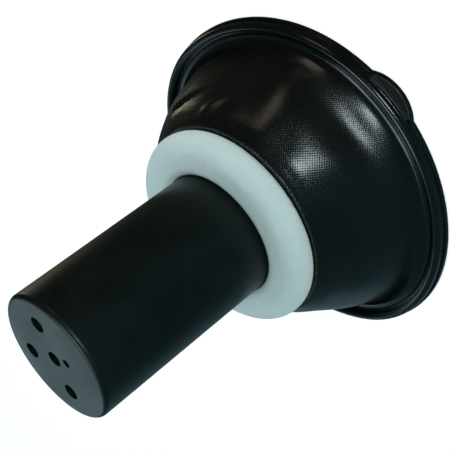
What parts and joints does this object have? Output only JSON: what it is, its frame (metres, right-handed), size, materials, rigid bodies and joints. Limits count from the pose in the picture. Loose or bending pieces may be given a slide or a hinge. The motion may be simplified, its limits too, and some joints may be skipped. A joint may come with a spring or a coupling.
{
  "type": "carburettor vacuum slide with diaphragm",
  "caption": "Cup-shaped plastic slide with a drilled end, clamped by a ring to a bell-shaped rubber diaphragm that has a thick sealing rim and a locating tab.",
  "frame": {"origin": "on the slide's axis, in the plane of the diaphragm rim's flat seating face", "axes": "+Z along the slide's axis, out of its drilled end; +X through the rim's locating tab"},
  "size_m": [0.0737, 0.0712, 0.0655],
  "materials": {
    "slide_plastic": "satin moulded black",
    "ring_nylon": "natural milky nylon",
    "diaphragm_rubber": "fabric-reinforced, satin"
  },
  "bodies": {
    "rim": {"rim_bead": "diaphragm_rubber", "diaphragm_web": "diaphragm_rubber"},
    "slide": {"slide_body": "slide_plastic", "retaining_ring": "ring_nylon", "inner_bead": "diaphragm_rubber"}
  },
  "joints": [
    {"name": "slide_travel", "type": "slide", "parent": "rim", "child": "slide", "axis": [0, 0, -1], "range_m": [0, 0.018], "stiffness_N_per_m": 120, "deforming": ["diaphragm_web"]}
  ]
}
